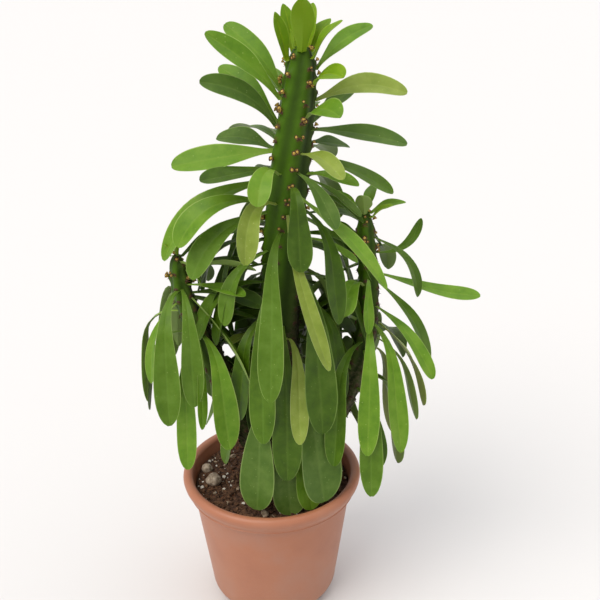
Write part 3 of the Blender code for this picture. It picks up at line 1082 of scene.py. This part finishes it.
@dataclass(frozen=True)
class Leaf:
    """One leaf; millimetres and degrees.

    facing is 0 for +X, -90 for the front, 180 for -X and 90 for the back. rise and fall are
    the slopes at the foot and at the tip, swing the turn of the heading along the leaf, bend
    the share of its length over which it bends, and roll the turn about its own length.
    """
    name: str
    form: Form
    stem: StemKey
    height: float
    facing: float
    length: float
    width: float
    rise: float
    fall: float
    swing: float
    bend: float
    roll: float
    tone: Tone
    channel: float = 0.17

    steps = 48
    marks = (0, 1, 2, 4, 6, 8, 11, 14, 17, 20, 23, 26, 29, 32, 35, 38, 40, 42, 44, 45, 46, 47, 48)
    across = (-1.0, -0.975, -0.9, -0.74, -0.5, -0.24, -0.09, 0.0,
              0.09, 0.24, 0.5, 0.74, 0.9, 0.975, 1.0)
    # Ranges in which each leaf differs from its neighbours: where its wave starts, the wave's
    # height, uneven halves, sway to the side, nod and shade.
    habits = ((0, 6.28), (0.3, 0.9), (-0.06, 0.06), (-1.1, 1.1), (-0.8, 0.8), (-0.09, 0.09))
    foot_gap = 1.15
    steep_gap = 0.8
    foot_sink = 0.8
    least_half = 0.35
    tip_thick = 0.85
    foot_thick = 0.5
    edge_thick = 0.30
    edge_round = 2.2
    groove_depth = 0.34
    groove_width = 0.10
    keel_depth = 0.75
    keel_width = 0.13

    def spine(self, foot: Vector) -> list[tuple[Vector, Vector, Vector]]:
        """Centre line from the foot.

        Args:
            foot: Where the leaf starts, in millimetres.

        Returns:
            Point, direction along and direction across, at every step.
        """
        here = foot.copy()
        out = []
        for i in range(self.steps + 1):
            t = i / self.steps
            heading = math.radians(self.facing + self.swing * t)
            pitch = math.radians(self.rise + (self.fall - self.rise) * ease(t / self.bend))
            along = Vector((math.cos(heading) * math.cos(pitch),
                            math.sin(heading) * math.cos(pitch), math.sin(pitch)))
            side = Vector((-math.sin(heading), math.cos(heading), 0))
            out.append((here.copy(), along, side))
            here = here + along * (self.length / self.steps)
        return out

    def grow(self, bm: bmesh.types.BMesh, stem: Stem, rng: random.Random,
             finish: int) -> None:
        """Add the leaf to a shape.

        Args:
            bm: Shape to add to; it has the layers blade and tone.
            stem: The stem it grows on.
            rng: Source of the random draws.
            finish: Index of its material.
        """
        blade = bm.verts.layers.float_vector["blade"]
        tone = bm.verts.layers.float["tone"]
        hit, out = stem.surface(self.height, self.facing)
        steep = abs(math.sin(math.radians(self.rise)))
        foot = hit + out * (self.foot_gap + self.steep_gap * steep)
        line = self.spine(foot)
        phase, wave, skew, sway, nod, shade = (rng.uniform(*reach) for reach in self.habits)
        tilt = math.radians(self.roll)
        rings = []
        for n in (-1,) + self.marks:
            t = max(n, 0) / self.steps
            here, along, side = line[max(n, 0)]
            up = along.cross(side)
            turned = side * math.cos(tilt) - up * math.sin(tilt)
            face = up * math.cos(tilt) + side * math.sin(tilt)
            if n < 0:
                here = hit - out * self.foot_sink
            half = self.width / 2 * self.form.value.share(t)
            half = max(half * (1 + skew * math.sin(7 * t + phase)), self.least_half)
            body = self.tip_thick + self.foot_thick * (1 - t) ** 2
            cup_up = self.channel * half
            free = min(1.0, t * 12)
            here = here + turned * (sway * math.sin(3.1 * t) * free)
            here = here + face * (nod * math.sin(6.0 * t + phase) * free)
            top, low = [], []
            for s in self.across:
                edge = abs(s)
                rim = edge ** self.edge_round
                thick = (body * (1 - rim) + self.edge_thick * rim) * min(1.0, 0.35 + half)
                flutter = wave * edge ** 2 * math.sin(8 * t + phase + (1.9 if s > 0 else 0))
                flutter *= min(1.0, half / 6)
                lift = cup_up * edge ** 1.5 * 1.35 - 0.25 * cup_up + flutter
                groove = -self.groove_depth * math.exp(-(s / self.groove_width) ** 2)
                groove *= min(1.0, half / 5)
                keel = self.keel_depth * math.exp(-(s / self.keel_width) ** 2)
                keel *= (1 - t) ** 0.7 * min(1.0, half / 4)
                at = here + turned * (s * half)
                upper = bm.verts.new((at + face * (lift + thick / 2 + groove)) * MM)
                upper[blade] = Vector((s, t, 0.0))
                upper[tone] = shade
                top.append(upper)
                if edge < 1:
                    lower = bm.verts.new((at + face * (lift - thick / 2 - keel)) * MM)
                    lower[blade] = Vector((s, t, 1.0))
                    lower[tone] = shade
                    low.append(lower)
            rings.append(top + low[::-1])
        first = len(bm.faces)
        skin(bm, rings)
        bm.faces.ensure_lookup_table()
        for face in bm.faces[first:]:
            face.material_index = finish


@dataclass(frozen=True)
class Cluster:
    """Leaves of one kind, numbered in the order of their rows.

    A row holds the values of a leaf from its stem on: stem, height, facing, length, width,
    rise, fall, swing, bend, roll, tone, and its channel where that isn't the usual one.
    """
    name: str
    form: Form
    first: int = 1
    rows: tuple[tuple[Any, ...], ...] = ()

    def leaves(self) -> list[Leaf]:
        """Make its leaves."""
        return [Leaf(f"{self.name}_{n}", self.form, *row)
                for n, row in enumerate(self.rows, self.first)]


T, L, R = StemKey.TRUNK, StemKey.LEFT, StemKey.RIGHT
MAT, FRE, YOU, SHA, OLI, BLO = (Tone.MATURE, Tone.FRESH, Tone.YOUNG, Tone.PAINTED_SHADE,
                                Tone.OLIVE, Tone.BLOOM)
SPOON, PADDLE, LANCE = Form.SPOON, Form.PADDLE, Form.LANCE

PACKED_CLUSTERS = [
    Cluster("crown_leaf", LANCE, rows=(
        (T, 561, -90, 62, 19, 64, 36, 0, 1, 0, YOU),)),
    Cluster("crown_leaf", PADDLE, 2, rows=(
        (T, 527, 155, 76, 21, 58, 26, -10, 1, 35, FRE),
        (T, 521, 190, 83, 22, 53, 33, 0, 1, 48, FRE),
        (T, 544, 18, 62, 17, 53, 12, 3, 1, -32, FRE),
        (T, 498, 190, 78, 23, 58, 6, 0, 1, 45, BLO),
        (T, 475, 185, 88, 30, -2, -12, 0, 1, 30, FRE),
        (T, 460, 208, 66, 24, 8, -8, 0, 1, 15, SHA),
        (T, 519, 0, 80, 23, 28, -20, -4, 1, -36, OLI),
        (T, 495, 34, 68, 24, 30, 30, 10, 1, 0, MAT),
        (T, 494, -12, 82, 22, 4, -18, 0, 1, -25, BLO),
        (T, 468, 0, 80, 20, -13, -35, -5, 1, -20, MAT),)),
    Cluster("arch_leaf", PADDLE, rows=(
        (T, 448, 180, 128, 26, -10, -65, 8, 1, 32, FRE),
        (T, 407, 157, 116, 26, -15, -85, 0, 1, 0, SHA),
        (T, 437, -50, 118, 18, -15, -45, 12, 1, 0, FRE),)),
    Cluster("front_leaf", SPOON, rows=(
        (T, 405, -100, 170, 24, 2, -83, 0, 0.4, 0, MAT),
        (T, 362, -108, 165, 25, -20, -84, 12, 0.4, 0, MAT),
        (T, 447, -80, 92, 22, 22, -82, 5, 0.5, 0, SHA),
        (T, 422, -84, 142, 17, -48, -62, 44, 1, 0, OLI),
        (T, 429, -52, 122, 20, -10, -80, 0, 0.6, 0, SHA),
        (T, 378, -62, 170, 32, -28, -82, -4, 0.5, 0, SHA),
        (T, 300, -72, 120, 17, 20, -80, -20, 0.5, 0, OLI),
        (T, 312, -86, 158, 28, -14, -84, 0, 0.4, 0, SHA),)),
    Cluster("base_leaf", SPOON, rows=(
        (T, 240, -110, 130, 35, 5, -83, 3, 0.5, 0, BLO),
        (T, 217, -83, 104, 34, -16, -78, 6, 0.5, 0, BLO),
        (T, 209, -65, 100, 30, 5, -76, 5, 0.5, 0, FRE),
        (T, 254, -57, 130, 46, -15, -78, 0, 0.5, 0, BLO),)),
    Cluster("left_leaf", SPOON, rows=(
        (L, 304, -66, 128, 26, 4, -78, 10, 0.5, 0, FRE),
        (L, 346, -105, 140, 24, 3, -78, 30, 0.5, 0, MAT),
        (L, 347, -78, 128, 20, 12, -82, 0, 0.5, 0, MAT),
        (L, 304, -100, 142, 20, -12, -84, 8, 0.5, 0, FRE),
        (L, 320, 160, 130, 17, -10, -88, 0, 0.5, 0, FRE),
        (L, 289, 85, 130, 20, 0, -80, 30, 0.5, 0, SHA),)),
    Cluster("right_leaf", SPOON, rows=(
        (R, 357, -8, 96, 18, -18, -4, 0, 1, -20, FRE),
        (R, 349, -26, 97, 24, -35, -80, -5, 1, 0, MAT),
        (R, 326, -50, 90, 18, -10, -55, 0, 1, 0, FRE),
        (R, 310, -70, 138, 20, 0, -76, 5, 0.5, 0, FRE),
        (R, 305, 12, 113, 24, -45, -76, 0, 0.8, 0, OLI),
        (R, 253, 33, 145, 22, -35, -82, 0, 0.5, 0, MAT),
        (R, 314, -93, 146, 20, 6, -79, 0, 0.5, 0, FRE),
        (R, 280, -86, 157, 22, 3, -81, 0, 0.5, 0, MAT),
        (R, 289, -117, 140, 22, 8, -82, 0, 0.5, 0, MAT),)),
    Cluster("back_leaf", SPOON, rows=(
        (T, 470, 100, 85, 22, 20, -30, 0, 1, 0, MAT),
        (T, 440, 60, 110, 24, 10, -70, 0, 0.8, 0, MAT),
        (T, 420, 122, 130, 24, 5, -80, 0, 0.6, 0, FRE),
        (T, 385, 85, 160, 27, 0, -83, 0, 0.5, 0, MAT),
        (T, 345, 120, 160, 26, 0, -82, 0, 0.5, 0, SHA),
        (T, 300, 72, 150, 28, 0, -82, 0, 0.5, 0, MAT),
        (T, 262, 105, 120, 30, 5, -80, 0, 0.5, 0, BLO),
        (L, 335, 115, 130, 24, 5, -82, 0, 0.5, 0, MAT),
        (R, 345, 90, 140, 24, 5, -82, 0, 0.5, 0, MAT),
        (R, 300, 118, 140, 24, 0, -80, 0, 0.5, 0, FRE),)),
]

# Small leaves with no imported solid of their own. Each cluster is joined in one piece.
LOOSE_CLUSTERS = [
    Cluster("tip_leaf", LANCE, rows=(
        (T, 562, 56, 36, 17, 83, 64, 5, 1, 0, YOU),
        (T, 553, 189, 40, 15, 76, 78, 0, 1, 50, YOU),
        (T, 558, 129, 40, 14, 75, 64, 0, 1, 20, YOU),
        (T, 555, -28, 42, 16, 65, 35, 0, 1, -30, YOU),
        (T, 558, 40, 34, 13, 62, 35, 0, 1, -20, YOU),
        (T, 563, -140, 16, 6, 80, 75, 0, 1, 0, YOU),
        (T, 550, 95, 44, 15, 60, 30, 0, 1, 0, YOU),)),
    Cluster("high_leaf", PADDLE, rows=(
        (T, 499, 153, 74, 20, 50, 18, -12, 1, 45, FRE),
        (T, 476, 162, 54, 23, 22, -10, 0, 1, 25, BLO),
        (T, 532, -42, 41, 21, 55, -16, -8, 1, -28, YOU, 0.2),
        (T, 507, -58, 52, 22, 40, -18, 4, 1, -26, FRE, 0.2),
        (T, 481, 22, 40, 20, -6, -20, 6, 1, -15, BLO),
        (T, 476, -58, 64, 18, 14, -26, 0, 1, -10, OLI),
        (T, 456, -22, 48, 12, 6, -20, 0, 1, -30, FRE, 0.4),
        (T, 512, 115, 60, 18, 40, 5, 0, 1, 0, FRE),
        (T, 488, 75, 66, 20, 30, -10, 0, 1, 0, MAT),
        (T, 533, 80, 60, 18, 50, 15, 0, 1, 0, FRE),
        (T, 505, 102, 75, 20, 35, -10, 6, 1, 10, FRE),
        (T, 478, 128, 80, 21, 20, -30, 0, 1, -10, MAT),
        (T, 462, 66, 82, 22, 15, -42, -6, 1, 12, MAT),
        (T, 445, 108, 92, 22, 10, -58, 0, 1, 0, SHA),)),
    Cluster("mid_leaf", SPOON, rows=(
        (T, 458, 240, 62, 20, 34, -66, 22, 1, 10, FRE),
        (T, 430, 198, 98, 25, 18, -62, 3, 1, 30, FRE, 0.2),
        (T, 431, 236, 92, 20, 24, -72, 34, 1, 35, OLI, 0.3),
        (T, 459, -62, 70, 16, -4, -46, 8, 0.8, -10, BLO),
        (T, 452, -20, 58, 9, -22, -38, -8, 1, -20, BLO, 0.4),
        (T, 441, -4, 58, 8, -22, -40, -10, 1, -20, SHA, 0.4),
        (T, 397, -20, 56, 9, -2, -34, -8, 1, -10, FRE, 0.3),
        (T, 415, 20, 100, 20, 0, -60, 0, 1, -10, SHA),
        (T, 392, 180, 90, 20, 5, -70, 0, 0.8, 0, SHA),
        (T, 372, 205, 100, 22, 0, -78, 0, 0.6, 0, SHA),
        (T, 360, -10, 105, 22, 0, -74, 0, 0.7, 0, SHA),
        (T, 340, -35, 120, 24, -10, -80, 0, 0.5, 0, SHA),
        (T, 330, 165, 100, 22, 0, -76, 0, 0.6, 0, SHA),
        (T, 325, 230, 115, 24, -10, -82, 0, 0.5, 0, SHA),
        (T, 298, 202, 36, 12, 14, -15, 5, 1, 0, OLI),
        (T, 310, 173, 44, 13, 20, -8, 0, 1, 0, FRE),
        (T, 285, 10, 95, 24, 0, -78, 0, 0.6, 0, SHA),
        (T, 270, 150, 100, 24, 0, -78, 0, 0.6, 0, SHA),
        (T, 350, 48, 130, 24, 0, -80, 0, 0.5, 0, SHA),
        (T, 240, -30, 100, 26, 0, -78, 0, 0.5, 0, SHA),
        (T, 235, 205, 90, 24, 0, -76, 0, 0.5, 0, MAT),
        (T, 421, 202, 94, 24, -8, -64, 4, 1, 34, MAT),
        (T, 402, 176, 104, 25, 2, -72, 0, 0.9, 30, MAT),
        (T, 385, 214, 84, 19, -14, -76, 10, 0.8, 10, MAT),
        (T, 398, 4, 98, 23, 0, -72, 0, 0.9, -25, MAT),
        (T, 352, 192, 92, 22, 4, -70, 0, 0.8, 20, MAT),)),
    Cluster("left_tip", LANCE, rows=(
        (L, 376, 36, 54, 12, 36, -2, 12, 1, 62, SHA),
        (L, 378, 200, 14, 4, 75, 60, 0, 1, 0, YOU),
        (L, 379, -80, 12, 4, 80, 70, 0, 1, 0, YOU),
        (L, 377, 90, 20, 6, 70, 40, 0, 1, 0, YOU),
        (L, 373, -45, 34, 8, 0, -50, -8, 1, 40, FRE),)),
    Cluster("left_mid", SPOON, rows=(
        (L, 364, -18, 70, 10, 24, -11, 0, 1, 55, FRE),
        (L, 367, 2, 68, 10, 17, -16, -6, 1, 50, SHA),
        (L, 351, -33, 65, 15, 14, -8, 0, 1, -10, FRE),
        (L, 341, -8, 69, 20, 10, -26, -8, 1, -20, BLO),
        (L, 332, 220, 84, 14, -30, -84, 6, 0.7, 0, FRE),
        (L, 318, -76, 118, 12, 6, -78, -12, 0.5, 40, FRE),
        (L, 338, -38, 104, 12, -30, -55, -8, 1, 45, FRE),
        (L, 320, 30, 90, 20, 0, -70, 0, 0.8, 0, SHA),
        (L, 300, 175, 110, 18, -5, -84, 0, 0.5, 0, SHA),
        (L, 270, 120, 110, 22, 0, -80, 0, 0.5, 0, SHA),
        (L, 262, -40, 90, 22, -10, -78, 0, 0.5, 0, SHA),
        (L, 355, 75, 80, 18, 10, -60, 0, 0.9, 0, MAT),)),
    Cluster("right_tip", LANCE, rows=(
        (R, 417, -97, 33, 15, 57, 38, -5, 1, 0, FRE),
        (R, 416, -6, 33, 10, 36, 0, 4, 1, -25, FRE),
        (R, 413, -28, 24, 9, 52, 20, 4, 1, -20, YOU),
        (R, 414, 142, 40, 11, 34, 0, -25, 1, 20, FRE),
        (R, 395, 165, 28, 10, 30, 0, -5, 1, 15, MAT),
        (R, 416, 70, 34, 11, 50, 15, 0, 1, 0, FRE),)),
    Cluster("right_mid", SPOON, rows=(
        (R, 393, -25, 72, 15, -18, -84, 0, 1, -10, SHA),
        (R, 376, 18, 60, 9, -10, 76, 4, 1, -60, MAT),
        (R, 289, 39, 140, 14, -40, -74, -6, 0.7, 0, FRE),
        (R, 277, 56, 145, 18, -30, -80, -6, 0.5, 0, OLI),
        (R, 353, -95, 66, 11, 31, -75, 5, 0.6, 35, FRE),
        (R, 348, 235, 60, 22, 36, -62, 24, 1, 0, FRE, 0.2),
        (R, 372, 165, 34, 13, 46, 6, -20, 1, 10, SHA),
        (R, 330, 175, 95, 20, 0, -72, 0, 0.7, 0, SHA),
        (R, 320, 205, 110, 20, -5, -80, 0, 0.5, 0, SHA),
        (R, 265, 175, 90, 22, 0, -78, 0, 0.5, 0, SHA),
        (R, 370, 70, 90, 18, 10, -65, 0, 0.9, 0, MAT),
        (R, 240, -60, 90, 20, -10, -78, 0, 0.5, 0, SHA),)),
]


@dataclass(frozen=True)
class Thicket:
    """Inner leaves between the stems, painted shade or mature in tone; millimetres and degrees.
    """
    stem: StemKey
    low: float
    high: float
    toward: float
    spread: float
    count: int
    length: float

    def leaves(self, rng: random.Random) -> list[Leaf]:
        """Draw its leaves.

        Args:
            rng: Source of the random draws.

        Returns:
            The leaves.
        """
        made = []
        for k in range(self.count):
            height = self.low + (self.high - self.low) * (k + rng.uniform(0.2, 0.8)) / self.count
            made.append(Leaf("inner", LANCE, self.stem, height,
                             self.toward + rng.uniform(-self.spread, self.spread),
                             self.length * rng.uniform(0.8, 1.15), rng.uniform(17, 25),
                             rng.uniform(-42, 8), rng.uniform(-84, -62),
                             rng.uniform(-14, 14), rng.uniform(0.45, 0.8),
                             rng.uniform(-25, 25), rng.choice((SHA, MAT))))
        return made


THICKETS = [
    Thicket(T, 250, 425, 168, 22, 9, 105), Thicket(T, 240, 420, 14, 22, 9, 105),
    Thicket(T, 240, 400, 60, 25, 5, 125), Thicket(T, 250, 410, 118, 25, 5, 125),
    Thicket(L, 240, 345, 20, 35, 6, 90), Thicket(L, 235, 340, 92, 30, 5, 105),
    Thicket(R, 225, 380, 165, 35, 8, 90), Thicket(R, 230, 350, 70, 40, 5, 110),
]


@dataclass
class Foliage:
    """All leaves of the plant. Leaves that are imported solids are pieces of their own."""
    stems: dict[StemKey, Stem]
    seed: int = 5

    def plant(self, name: str, leaves: Sequence[Leaf], nodes: Sequence[str],
              finishes: dict[Tone, bpy.types.Material], rng: random.Random) -> bpy.types.Object:
        """Make one piece from some leaves.

        Args:
            name: Its name.
            leaves: The leaves in it.
            nodes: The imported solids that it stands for.
            finishes: Material of each tone.
            rng: Source of the random draws.

        Returns:
            The piece.
        """
        tones = list(dict.fromkeys(leaf.tone for leaf in leaves))
        bm = bmesh.new()
        bm.verts.layers.float_vector.new("blade")
        bm.verts.layers.float.new("tone")
        for leaf in leaves:
            leaf.grow(bm, self.stems[leaf.stem], rng, tones.index(leaf.tone))
        bmesh.ops.recalc_face_normals(bm, faces=bm.faces)
        return publish(name, bm, [finishes[tone] for tone in tones], nodes, 85)

    def build(self) -> list[bpy.types.Object]:
        """Make every leaf in its tone.

        Returns:
            The leaves that are pieces of their own, then the joined ones.
        """
        rng = random.Random(self.seed)
        finishes = {tone: tone.value.build() for tone in Tone}
        pieces = [self.plant(leaf.name + "_blade", [leaf], [leaf.name], finishes, rng)
                  for cluster in PACKED_CLUSTERS for leaf in cluster.leaves()]
        groups = {cluster.name: cluster.leaves() for cluster in LOOSE_CLUSTERS}
        for thicket in THICKETS:
            groups.setdefault("inner_" + thicket.stem.value, []).extend(thicket.leaves(rng))
        pieces += [self.plant(name + "_leaves", leaves, (), finishes, rng)
                   for name, leaves in groups.items()]
        return pieces


# ================================================================ studio
@dataclass
class Studio:
    """Plain pale floor, soft light and the camera; metres and degrees."""
    eye: tuple[float, float, float] = (0.0304, -0.785, 0.696)
    pitch: float = 24.9
    roll: float = -0.57
    lens: float = 55.5
    sensor: float = 36.0
    floor_half: float = 30.0
    floor_colour: str = "dad9d9"
    floor_roughness: float = 0.8
    far_clip: float = 200.0
    sky_colour: str = "f4f3f4"
    sky_strength: float = 0.75

    def camera(self) -> None:
        """Place the camera at the viewing height and angle."""
        data = bpy.data.cameras.new("camera")
        data.lens = self.lens
        data.sensor_width = self.sensor
        data.clip_end = self.far_clip
        made = bpy.data.objects.new("camera", data)
        made.location = self.eye
        turn = Matrix.Rotation(math.radians(90 - self.pitch), 4, "X")
        lean = Matrix.Rotation(math.radians(self.roll), 4, "Z")
        made.rotation_euler = (turn @ lean).to_euler()
        bpy.context.scene.collection.objects.link(made)
        bpy.context.scene.camera = made

    def floor(self) -> None:
        """Lay the floor."""
        bm = bmesh.new()
        bmesh.ops.create_grid(bm, x_segments=8, y_segments=8, size=self.floor_half)
        mesh = bpy.data.meshes.new("floor")
        bm.to_mesh(mesh)
        bm.free()
        made, _, shader = new_material("matt_studio_floor")
        shader.inputs["Base Color"].default_value = linear(self.floor_colour)
        shader.inputs["Roughness"].default_value = self.floor_roughness
        mesh.materials.append(made)
        floor = bpy.data.objects.new("floor", mesh)
        bpy.context.scene.collection.objects.link(floor)

    def lamp(self, name: str, way: Vector, strength: float, spread: float,
             colour: str) -> None:
        """Add a wide, distant lamp, which lights the whole floor evenly.

        Args:
            name: Its name.
            way: Direction from the plant to the lamp.
            strength: Watts per square metre.
            spread: Apparent width in degrees; the wider, the softer.
            colour: Hex colour of the light.
        """
        data = bpy.data.lights.new(name, "SUN")
        data.energy = strength
        data.angle = math.radians(spread)
        data.color = linear(colour)[:3]
        made = bpy.data.objects.new(name, data)
        made.rotation_euler = way.to_track_quat("Z", "Y").to_euler()
        bpy.context.scene.collection.objects.link(made)

    def light(self) -> None:
        """Set the ambient light and the lamps."""
        world = bpy.data.worlds.new("studio_sky")
        bpy.context.scene.world = world
        world.use_nodes = True
        sky = world.node_tree.nodes["Background"]
        sky.inputs["Color"].default_value = linear(self.sky_colour)
        sky.inputs["Strength"].default_value = self.sky_strength
        self.lamp("window", Vector((-1.0, -0.9, 1.7)), 1.9, 42, "fffaf2")
        self.lamp("ceiling", Vector((0.5, 0.5, 2.2)), 0.95, 75, "ffffff")
        bpy.context.scene.view_settings.view_transform = "Standard"

    def build(self) -> None:
        """Set up the studio."""
        self.camera()
        self.floor()
        self.light()


# ================================================================ all together
def main() -> None:
    """Build the studio, the pot and the plant."""
    logging.basicConfig(level=logging.INFO, format="%(message)s")
    Studio().build()
    pot = Pot()
    soil = Soil(pot)
    pieces = [pot.build(), *soil.build()]
    stone = Mineral("pumice_stone", "6a5b48", "a39380", "c9bda9", 4.0, relief_mm=1.4).build()
    lumps = [PumiceLump("pumice_large", 7.5, 0.8, 2.0),
             PumiceLump("pumice_small", 5.5, 0.85, 7.0)]
    pieces += [lump.build(stone) for lump in lumps]
    stems = {stem.key: stem for stem in (
        Stem(T, path=[(9, 4, 111, 17), (9, 3, 150, 17.5), (10, 1, 200, 18), (11, 0, 260, 18),
                      (13, 0, 330, 18), (15, 0, 382, 18), (19, 0, 430, 18), (24, 0, 476, 17),
                      (30, 0, 519, 15.5), (33, 0, 548, 12.5), (34, 0, 563, 7)],
             sides=60, rings=230, flower_from=395, age_from=400),
        Stem(L, path=[(-2, -1, 152, 12), (-18, -4, 182, 12.5), (-32, -5, 214, 12.5),
                      (-46, -4, 252, 12), (-62, -2, 291, 11), (-74, 0, 322, 10),
                      (-80, 0, 348, 9), (-82, 0, 368, 7.5), (-82, 0, 378, 4)],
             sides=45, rings=130, flower_from=345, age_from=360),
        Stem(R, path=[(17, 2, 140, 9.5), (34, 3, 156, 10.5), (54, 4, 184, 11),
                      (72, 4, 222, 11), (86, 4, 262, 10.5), (94, 4, 300, 10),
                      (95, 4, 341, 9.5), (92, 4, 384, 8.5), (90, 4, 408, 7), (89, 4, 418, 4)],
             sides=45, rings=140, flower_from=370, age_from=390))}
    bark = StemSkin().build()
    trim = [Mineral("ripe_bract", "86601c", "c4a244", "e2cd82", 1.2, 0.6, 0.4, 0.3).build(),
            Mineral("red_bract", "5b1f12", "83402a", "a8683f", 1.2, 0.6, 0.4, 0.3).build(),
            Mineral("leaf_scar_wood", "24150d", "4a2f1d", "7a5a3c", 1.2, 0.8, 0.5, 0.3).build()]
    apex = {T: 11, L: 3, R: 5}
    for key, stem in stems.items():
        pieces.append(stem.build(bark))
        pieces.append(NodeTrim(stem, 3 + len(pieces), apex_cups=apex[key]).build(trim))
    pieces += Foliage(stems).build()
    for piece in pieces:
        LOG.info("%s: %d faces", piece.name, len(piece.data.polygons))


if __name__ == "__main__":
    main()
